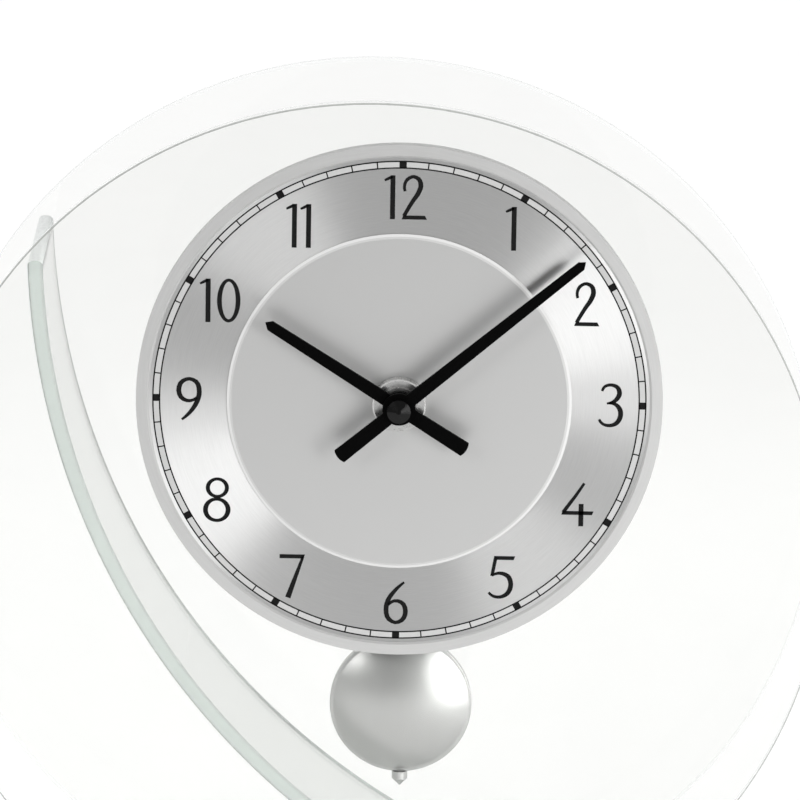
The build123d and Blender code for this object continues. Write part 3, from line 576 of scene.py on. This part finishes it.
DUST_SHADE = 0.985
GLASS_SHADOW = (0.93, 0.95, 0.94, 1.0)
PANE_RIM = 0.41 * MM
DIAL_BEVEL = (1.23 * MM, 1.17 * MM)
# band of painted highlight on the dial's bevel, counted in from its edge
PAINTED_BEVEL_HIGHLIGHT = (0.72 * MM, 0.60 * MM)
CELL_BAND = 0.70
CELL_FOOT = 0.7 * MM
CELL_CROWN = 2.1 * MM
CELL_BLUR = 0.1 * MM


def clear_glass(name, tint):
    """Polished float glass that lamps shine through, with a breath of dust that changes its tint."""
    made, tree, shader = finish(
        name, tint, 0.0, IOR=1.5, Transmission_Weight=1.0, Specular_Tint=(0.5, 0.5, 0.5, 1.0),
    )
    dust = between(tree, noise(tree, local(tree), 55.0, 4.0), 0.35, 0.75, 0.0, 0.35)
    paint(tree, shader, dust, tint, [c * DUST_SHADE for c in tint])
    lamps = put(tree, "LightPath").outputs["Is Shadow Ray"]
    clear = put(tree, "BsdfTransparent", {"Color": GLASS_SHADOW})
    mixed = put(tree, "MixShader", {0: lamps, 1: shader.outputs[0], 2: clear.outputs[0]})
    tree.links.new(mixed.outputs[0], tree.nodes["Material Output"].inputs["Surface"])
    return made


def ground_strip_edge():
    """Ground edge of the bent strip: pale green, with painted shade that greys it towards its two corners.
    """
    strip_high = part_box("curved_glass_strip")[1]
    pane_low, pane_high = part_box("rear_glass_disc")
    table = pane_high.z - (pane_high.x - pane_low.x)
    centre = (strip_high.x, 0, table + STRIP_OUTER)
    made, tree, shader = finish("ground_strip_edge", (0.455, 0.487, 0.47), 0.55)
    _, radius = off_axis(tree, centre)
    half = (STRIP_OUTER - STRIP_INNER) / 2
    away = maths(tree, "ABSOLUTE", maths(tree, "SUBTRACT", radius, STRIP_INNER + half))
    side = between(tree, away, half * 0.45, half)
    grain = noise(tree, local(tree), 900, 3.0)
    pale = blend_colour(tree, grain, (0.435, 0.467, 0.45), (0.475, 0.507, 0.49))
    # painted shade: the edge turns greyer towards both of its corners
    paint(tree, shader, side, pale, (0.38, 0.395, 0.385))
    vary(tree, shader, "Roughness", grain, 0.45, 0.6)
    relief(tree, shader, grain, 0.003, 0.3)
    return made


def polished_rim():
    """Rim of a disc: clear aslant, and green looked at straight, from the depth of glass behind it."""
    made, tree, shader = finish("polished_rim", (0.50, 0.60, 0.56), 0.3)
    grain = noise(tree, local(tree), 1600, 3.0)
    aslant = put(tree, "LayerWeight", {"Blend": 0.5}).outputs["Facing"]
    green = blend_colour(tree, grain, (0.47, 0.57, 0.53), (0.53, 0.63, 0.59))
    clear = between(tree, aslant, 0.15, 0.70)
    paint(tree, shader, clear, green, (0.905, 0.925, 0.915))
    tree.links.new(between(tree, clear, 0.0, 1.0, 0.75, 0.20, False), shader.inputs["Alpha"])
    vary(tree, shader, "Roughness", grain, 0.3, 0.4)
    return made


def brushed_chapter_ring():
    """Aluminium turned with fine circular brushing, which draws the lamps out into wedges of light."""
    made, tree, shader = finish(
        "brushed_dial", (0.715, 0.715, 0.71), 0.42, metallic=1.0,
        Anisotropic=1.0, Anisotropic_Rotation=0.25,
    )
    position = turned_coordinates(tree, DIAL_CENTRE, lines=5200, arcs=9)
    streak = noise(tree, position, 1.0, 4.0, 0.6)
    broad = noise(tree, position, 0.13, 2.0)
    paint(tree, shader, between(tree, streak, *NOISE_CORE), (0.695, 0.695, 0.69), (0.735, 0.735, 0.73))
    both = maths(tree, "ADD", streak, maths(tree, "MULTIPLY", broad, 0.5))
    tree.links.new(between(tree, both, 0.4, 1.1, 0.395, 0.445, False), shader.inputs["Roughness"])
    brush_round(tree, shader)
    relief(tree, shader, streak, 0.002, 0.12)
    return made


def matt_centre():
    """Finely blasted aluminium with a painted highlight: a paler line along its bevel."""
    made, tree, shader = finish("matt_dial", (0.59, 0.59, 0.585), 0.5, metallic=1.0)
    low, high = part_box("inner_dial")
    edge = (high.x - low.x) / 2
    _, radius = off_axis(tree, DIAL_CENTRE)
    grain = noise(tree, local(tree), 5200, 2.0)
    bevel = between(tree, radius, edge - DIAL_BEVEL[0], edge - DIAL_BEVEL[1])
    # painted highlight: a paler band along the bevel, in place of the light the bevel catches
    line = between(tree, radius, edge - PAINTED_BEVEL_HIGHLIGHT[0], edge - PAINTED_BEVEL_HIGHLIGHT[1])
    colour = blend_colour(tree, grain, (0.56, 0.56, 0.555), (0.62, 0.62, 0.615))
    colour = blend_colour(tree, bevel, colour, (0.53, 0.53, 0.525))
    paint(tree, shader, line, colour, (0.65, 0.65, 0.645))
    tree.links.new(between(tree, bevel, 0.0, 1.0, 1.0, 0.35, False), shader.inputs["Metallic"])
    matt = between(tree, grain, *NOISE_CORE, 0.46, 0.54)
    rough = maths(tree, "ADD", matt, maths(tree, "MULTIPLY", bevel, 0.18))
    tree.links.new(rough, shader.inputs["Roughness"])
    relief(tree, shader, grain, 0.003, 0.3)
    return made


def turned_metal(name, centre, low_colour, high_colour, rough_low, rough_high,
                 lines=4000, arcs=6, bump=0.003, metallic=1.0):
    """Lathe-turned metal: colour, roughness and a shallow relief follow circles round the depth axis."""
    made, tree, shader = finish(name, low_colour, rough_low, metallic)
    streak = noise(tree, turned_coordinates(tree, centre, lines, arcs), 1.0, 3.0)
    paint(tree, shader, between(tree, streak, *NOISE_CORE), low_colour, high_colour)
    vary(tree, shader, "Roughness", streak, rough_low, rough_high)
    relief(tree, shader, streak, bump, 0.15)
    return made


def turned_black():
    """Blackened metal turned to a fine spiral, so that lamps show as wedges on the cap's cone."""
    made, tree, shader = finish(
        "cap_black", (0.002, 0.002, 0.002), 0.13, Anisotropic=0.95, Anisotropic_Rotation=0.25,
        Specular_IOR_Level=0.22,
    )
    streak = noise(tree, turned_coordinates(tree, DIAL_CENTRE, lines=9000, arcs=5), 1.0, 3.0)
    paint(tree, shader, streak, (0.001, 0.001, 0.001), (0.004, 0.004, 0.004))
    vary(tree, shader, "Roughness", streak, 0.11, 0.15)
    brush_round(tree, shader)
    return made


def grained(name, low_colour, high_colour, rough_low, rough_high, scale, bump, metallic=0.0, **more):
    """Noise-grained finish: colour, roughness and relief follow one noise."""
    made, tree, shader = finish(name, low_colour, rough_low, metallic, **more)
    grain = noise(tree, local(tree), scale, 3.0)
    paint(tree, shader, between(tree, grain, *NOISE_CORE), low_colour, high_colour)
    vary(tree, shader, "Roughness", grain, rough_low, rough_high)
    relief(tree, shader, grain, bump, 0.5)
    return made


def wound_wire(name, axis):
    """Enamelled copper winding: ridges one wire apart across an axis, with painted highlight on their
    crowns and painted shade between them.
    """
    made, tree, shader = finish(name, (0.45, 0.19, 0.09), 0.3, metallic=1.0, Coat_Weight=0.5)
    wave = put(tree, "TexWave", {
        "Vector": local(tree), "Scale": 1400.0, "Distortion": 0.4, "Detail": 1.0,
    }, bands_direction=axis)
    ridge_with_painted_light = wave.outputs["Fac"]
    # painted highlight on the wire crowns and painted shade in the grooves between them
    paint(tree, shader, ridge_with_painted_light, (0.28, 0.10, 0.045), (0.62, 0.29, 0.15))
    vary(tree, shader, "Roughness", ridge_with_painted_light, 0.42, 0.26)
    relief(tree, shader, ridge_with_painted_light, 0.08, 0.6)
    return made


def cell_jacket():
    """Battery: printed film in two plain colours with bare metal at both ends."""
    low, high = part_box("battery_cell")
    made, tree, shader = finish("cell_jacket", (0.03, 0.03, 0.035), 0.28, Coat_Weight=0.4)
    along = put(tree, "SeparateXYZ", {0: local(tree, (low.x, 0, 0))}).outputs["X"]
    length = high.x - low.x
    scuff = noise(tree, local(tree), 900, 4.0)
    band = between(tree, along, length * CELL_BAND, length * CELL_BAND + 2 * CELL_BLUR)
    film = blend_colour(tree, band, (0.022, 0.024, 0.028), (0.55, 0.30, 0.10))
    film = blend_colour(tree, maths(tree, "MULTIPLY", scuff, 0.12), film, (0.5, 0.5, 0.5))
    foot = between(tree, along, CELL_FOOT, CELL_FOOT + CELL_BLUR, 1.0, 0.0)
    crown = between(tree, along, length - CELL_CROWN, length - CELL_CROWN + CELL_BLUR)
    bare = maths(tree, "ADD", foot, crown)
    paint(tree, shader, bare, film, (0.68, 0.67, 0.65))
    metal = maths(tree, "MAXIMUM", bare, maths(tree, "MULTIPLY", band, 0.85))
    tree.links.new(metal, shader.inputs["Metallic"])
    vary(tree, shader, "Roughness", scuff, 0.22, 0.36)
    return made


def circuit_board_green():
    """Lacquered board: pale copper runs under green lacquer."""
    made, tree, shader = finish("board_green", (0.02, 0.16, 0.07), 0.25, Coat_Weight=0.6)
    cells = put(tree, "TexBrick", {
        "Vector": local(tree), "Scale": 260.0, "Mortar Size": 0.12, "Brick Width": 1.4,
        "Row Height": 0.45, "Color1": (0, 0, 0, 1), "Color2": (0, 0, 0, 1), "Mortar": (1, 1, 1, 1),
    })
    runs = cells.outputs["Fac"]
    paint(tree, shader, runs, (0.012, 0.10, 0.045), (0.06, 0.24, 0.09))
    relief(tree, shader, runs, 0.03, 0.5)
    return made


FINISHES = {
    "clear_glass": clear_glass("clear_glass", (0.972, 0.974, 0.966)),
    "strip_glass": clear_glass("strip_glass", (0.79, 0.805, 0.79)),
    "brushed_dial": brushed_chapter_ring(),
    "matt_dial": matt_centre(),
    "bezel_metal": turned_metal(
        "bezel_metal", DIAL_CENTRE, (0.495, 0.495, 0.49), (0.52, 0.52, 0.515), 0.42, 0.48,
        lines=3600, arcs=7, bump=0.001, metallic=0.5,
    ),
    "brass": turned_metal("brass", DIAL_CENTRE, (0.72, 0.52, 0.22), (0.84, 0.66, 0.34), 0.2, 0.32),
    "rubber": grained("rubber", (0.012, 0.012, 0.012), (0.03, 0.03, 0.03), 0.7, 0.85, 1800, 0.02),
    "bright_chrome": turned_metal(
        "bright_chrome", DIAL_CENTRE, (0.62, 0.62, 0.61), (0.70, 0.70, 0.69), 0.26, 0.30,
        lines=1500, arcs=4, bump=0.0004,
    ),
    "black_hands": grained(
        "black_hands", (0.0012, 0.0012, 0.0012), (0.0022, 0.0022, 0.0022), 0.34, 0.42, 3200, 0.002,
        Specular_IOR_Level=0.02,
    ),
    "white_wheels": grained("white_wheels", (0.72, 0.70, 0.64), (0.82, 0.80, 0.75), 0.38, 0.5, 1200, 0.004),
    "black_case": grained(
        "black_case", (0.014, 0.014, 0.015), (0.028, 0.028, 0.029), 0.42, 0.58, 2600, 0.02,
    ),
    "board_green": circuit_board_green(),
    "steel": grained(
        "steel", (0.50, 0.50, 0.49), (0.66, 0.66, 0.65), 0.22, 0.36, 1500, 0.004, metallic=1.0,
    ),
    "copper_wire": wound_wire("copper_wire", "X"),
    "cell_jacket": cell_jacket(),
    "bob_metal": turned_metal(
        "bob_metal", BOB_CENTRE, (0.525, 0.525, 0.52), (0.545, 0.545, 0.54), 0.31, 0.35,
        lines=3600, arcs=7, bump=0.001,
    ),
}
strip_ground = ground_strip_edge()
# painted shade: a dark grey line on the front pane's front arris, where the polished edge looks dark
painted_rim_shade = grained("painted_rim_shade", (0.36, 0.37, 0.355), (0.42, 0.43, 0.415), 0.45, 0.6, 1600, 0.002)
rim_clear = polished_rim()
arris_clear = grained(
    "arris_clear", (0.72, 0.74, 0.73), (0.80, 0.82, 0.81), 0.3, 0.4, 1600, 0.001, Alpha=0.25,
)
joint_line = grained("joint_line", (0.42, 0.43, 0.42), (0.48, 0.49, 0.48), 0.45, 0.6, 1600, 0.002)
# painted light: the strip's upward-facing top end gets a lighter copy of the ground edge finish
top_end_painted_lighter = grained("ground_strip_end", (0.74, 0.76, 0.75), (0.86, 0.88, 0.87), 0.5, 0.65, 1100, 0.004)
cap_black = turned_black()
band_ink = grained(
    "band_ink", (0.53, 0.53, 0.525), (0.57, 0.57, 0.565), 0.45, 0.6, 4200, 0.002, metallic=0.55,
)
print_ink = grained(
    "print_ink", (0.006, 0.006, 0.006), (0.012, 0.012, 0.012), 0.5, 0.65, 4200, 0.002,
    Specular_IOR_Level=0.05,
)


def give(piece, *materials):
    """Materials of a piece, the first on the whole of it."""
    piece.data.materials.clear()
    for material in materials:
        piece.data.materials.append(material)


for part in frame["record"]["subparts"]:
    give(nodes[part["node"]], FINISHES[part["material_slot"]])
give(nodes["hand_cap"], cap_black)

for pane in ("front_glass_disc", "rear_glass_disc"):
    give(nodes[pane], FINISHES["clear_glass"], rim_clear, painted_rim_shade, arris_clear)
    middle, normal = face_table(nodes[pane])
    radius = np.hypot(middle[:, 0] - GLASS_CENTRE[0], middle[:, 2] - GLASS_CENTRE[2])
    rim = radius > GLASS_RADIUS - PANE_RIM
    arris = rim & (np.abs(normal[:, 1]) > SLANT)
    # the front pane's front arris takes the painted dark line
    line = arris & (normal[:, 1] < 0) & (pane == "front_glass_disc")
    number_faces(nodes[pane], np.select([line, arris, rim], [2, 3, 1], 0))

strip, strip_numbers = bent_strip()
give(strip, FINISHES["strip_glass"], strip_ground, top_end_painted_lighter, joint_line)
number_faces(strip, strip_numbers)
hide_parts("curved_glass_strip")
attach(strip, "stand")

bob = bob_dome()
give(bob, FINISHES["bob_metal"])
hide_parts("bob_front_shell")
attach(bob, "pendulum")
for node in ("rating_nut", "pendulum_rod"):
    give(nodes[node], FINISHES["bob_metal"])

# Dial print rides on the stand

for print_piece, ink, slot in (
    (hour_numerals(), print_ink, "black_hands"), (minute_track(), print_ink, "black_hands"),
    (track_band(), band_ink, "matt_dial"),
):
    give(print_piece, ink)
    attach(print_piece, "stand")


# Studio: pale floor, white surround that mirrors see greyer in front, softbox to the right with a low
# reflector under it, weaker softbox upper left

GROUND = -0.0002
FLOOR_RADIUS = 1.1
FLOOR_BACK = 0.45
FLOOR_RINGS = 11
FLOOR_TURNS = 96
FLOOR_GLOW = 0.60
FLOOR_PAPER = 0.5
FLOOR_EDGE = 0.36
EDGE_DEPTHS = (-0.65, -0.42)
FRONT_GREY = 0.34
FRONT_TURNS = (-0.9, 0.2)
AMBIENT = 0.80
BACKDROP = 1.05


def sight(tree):
    """Shares of two kinds of rays: turned by a mirror, and looking straight or through glass."""
    rays = put(tree, "LightPath").outputs
    optical = maths(tree, "MAXIMUM", rays["Is Glossy Ray"], rays["Is Transmission Ray"])
    mirrored = maths(tree, "MULTIPLY", optical, maths(tree, "MINIMUM", rays["Glossy Depth"], 1.0))
    straight = maths(tree, "MAXIMUM", rays["Is Camera Ray"], maths(tree, "SUBTRACT", optical, mirrored))
    return mirrored, straight


def floor_sheet():
    """Flat round sheet: points radius * (cos, sin) on a polar grid, closed at its middle."""
    radius, turn = np.meshgrid(
        np.linspace(0.0, FLOOR_RADIUS, FLOOR_RINGS + 1)[1:],
        np.linspace(0, 2 * pi, FLOOR_TURNS, endpoint=False), indexing="ij",
    )
    height = np.full(radius.shape, GROUND)
    grid = np.stack([radius * np.cos(turn), FLOOR_BACK + radius * np.sin(turn), height], axis=-1)
    points = np.concatenate([grid.reshape(-1, 3), [[0.0, FLOOR_BACK, GROUND]]])
    number = np.arange(radius.size).reshape(radius.shape)
    beside = np.roll(number, -1, axis=1)
    rings = np.stack([number[:-1], number[1:], beside[1:], beside[:-1]], axis=-1).reshape(-1, 4)
    fan = np.stack([np.full(number.shape[1], radius.size), number[0], beside[0]], axis=-1)
    mesh = bpy.data.meshes.new("floor")
    mesh.from_pydata(points.tolist(), [], rings.tolist() + fan.tolist())
    made = bpy.data.objects.new("floor", mesh)
    bpy.context.scene.collection.objects.link(made)
    return made


def floor_white():
    """White floor: part its own light and part diffuse, so that it is white and keeps a shadow.

    Mirrors see it fall to the grey of the surround towards its front edge.
    """
    made = bpy.data.materials.new("floor_white")
    made.use_nodes = True
    tree = made.node_tree
    tree.nodes.remove(tree.nodes["Principled BSDF"])
    depth = put(tree, "SeparateXYZ", {0: put(tree, "NewGeometry").outputs["Position"]}).outputs["Y"]
    front = between(tree, depth, *EDGE_DEPTHS, 1.0 - FLOOR_EDGE, 0.0)
    dim = maths(tree, "SUBTRACT", 1.0, maths(tree, "MULTIPLY", sight(tree)[0], front))
    grain = between(tree, noise(tree, local(tree), 60.0), *NOISE_CORE, 0.985, 1.0)
    level = maths(tree, "MULTIPLY", maths(tree, "MULTIPLY", dim, grain), FLOOR_GLOW)
    glow = put(tree, "Emission", {"Color": (1, 1, 1, 1), "Strength": level})
    paper = put(tree, "BsdfDiffuse", {"Color": maths(tree, "MULTIPLY", dim, FLOOR_PAPER)})
    both = put(tree, "AddShader", {0: glow.outputs[0], 1: paper.outputs[0]})
    tree.links.new(both.outputs[0], tree.nodes["Material Output"].inputs["Surface"])
    return made


floor = floor_sheet()
give(floor, floor_white())

scene = bpy.context.scene
world = bpy.data.worlds.new("studio_surround")
scene.world = world
world.use_nodes = True
surround = world.node_tree
facing = put(surround, "SeparateXYZ", {0: put(surround, "TexCoord").outputs["Generated"]}).outputs["Y"]
mirrored, straight = sight(surround)
mirror_level = between(surround, facing, *FRONT_TURNS, FRONT_GREY, 1.0)
lit = put(surround, "Mix", {"Factor": mirrored, "A": AMBIENT, "B": mirror_level}).outputs[0]
level = put(surround, "Mix", {"Factor": straight, "A": lit, "B": BACKDROP}).outputs[0]
surround.links.new(level, surround.nodes["Background"].inputs["Strength"])
surround.nodes["Background"].inputs["Color"].default_value = (1, 1, 1, 1)


def softbox(name, direction, distance, wide, high, radiance, turn=0.0):
    """Rectangular lamp facing the dial, turned about its aim by degrees; power = pi * area * radiance."""
    lamp = bpy.data.lights.new(name, "AREA")
    lamp.shape = "RECTANGLE"
    lamp.size, lamp.size_y = wide, high
    lamp.energy = pi * wide * high * radiance
    made = bpy.data.objects.new(name, lamp)
    away = Vector(direction).normalized()
    made.location = Vector(DIAL_CENTRE) + away * distance
    about_aim = Quaternion((0, 0, 1), radians(turn))
    made.rotation_euler = (away.to_track_quat("Z", "Y") @ about_aim).to_euler()
    scene.collection.objects.link(made)


softbox("softbox_right", (0.648, -0.760, 0.080), distance=1.3, wide=0.40, high=0.64, radiance=8.8, turn=22)
softbox("reflector_low_right", (0.70, -0.68, -0.25), distance=0.47, wide=0.40, high=0.07, radiance=1.7)
softbox("softbox_upper_left", (-0.533, -0.7335, 0.4235), distance=1.5, wide=0.36, high=0.80, radiance=5.4,
        turn=-38)

# Camera, fitted to the outlines in the photograph

CAMERA_TARGET = Vector((0.00715, -0.0198, 0.15901))
CAMERA_AZIMUTH = radians(-0.387)
CAMERA_ELEVATION = radians(14.856)
CAMERA_ROLL = radians(0.926)
CAMERA_DISTANCE = 1.962
CAMERA_LENS = 336.4
SENSOR = 36.0

level_reach = cos(CAMERA_ELEVATION)
outwards = Vector((
    -sin(CAMERA_AZIMUTH) * level_reach, -cos(CAMERA_AZIMUTH) * level_reach, sin(CAMERA_ELEVATION),
))
level_right = (-outwards).cross(Vector((0, 0, 1))).normalized()
level_up = level_right.cross(-outwards)
right = cos(CAMERA_ROLL) * level_right + sin(CAMERA_ROLL) * level_up
up = cos(CAMERA_ROLL) * level_up - sin(CAMERA_ROLL) * level_right
lens = bpy.data.cameras.new("camera")
lens.lens, lens.sensor_width, lens.sensor_fit = CAMERA_LENS, SENSOR, "HORIZONTAL"
camera = bpy.data.objects.new("camera", lens)
camera_turn = Matrix((right, up, outwards)).transposed().to_quaternion()
camera.matrix_world = Matrix.LocRotScale(CAMERA_TARGET + outwards * CAMERA_DISTANCE, camera_turn, None)
scene.collection.objects.link(camera)
scene.camera = camera
scene.view_settings.view_transform = "Standard"
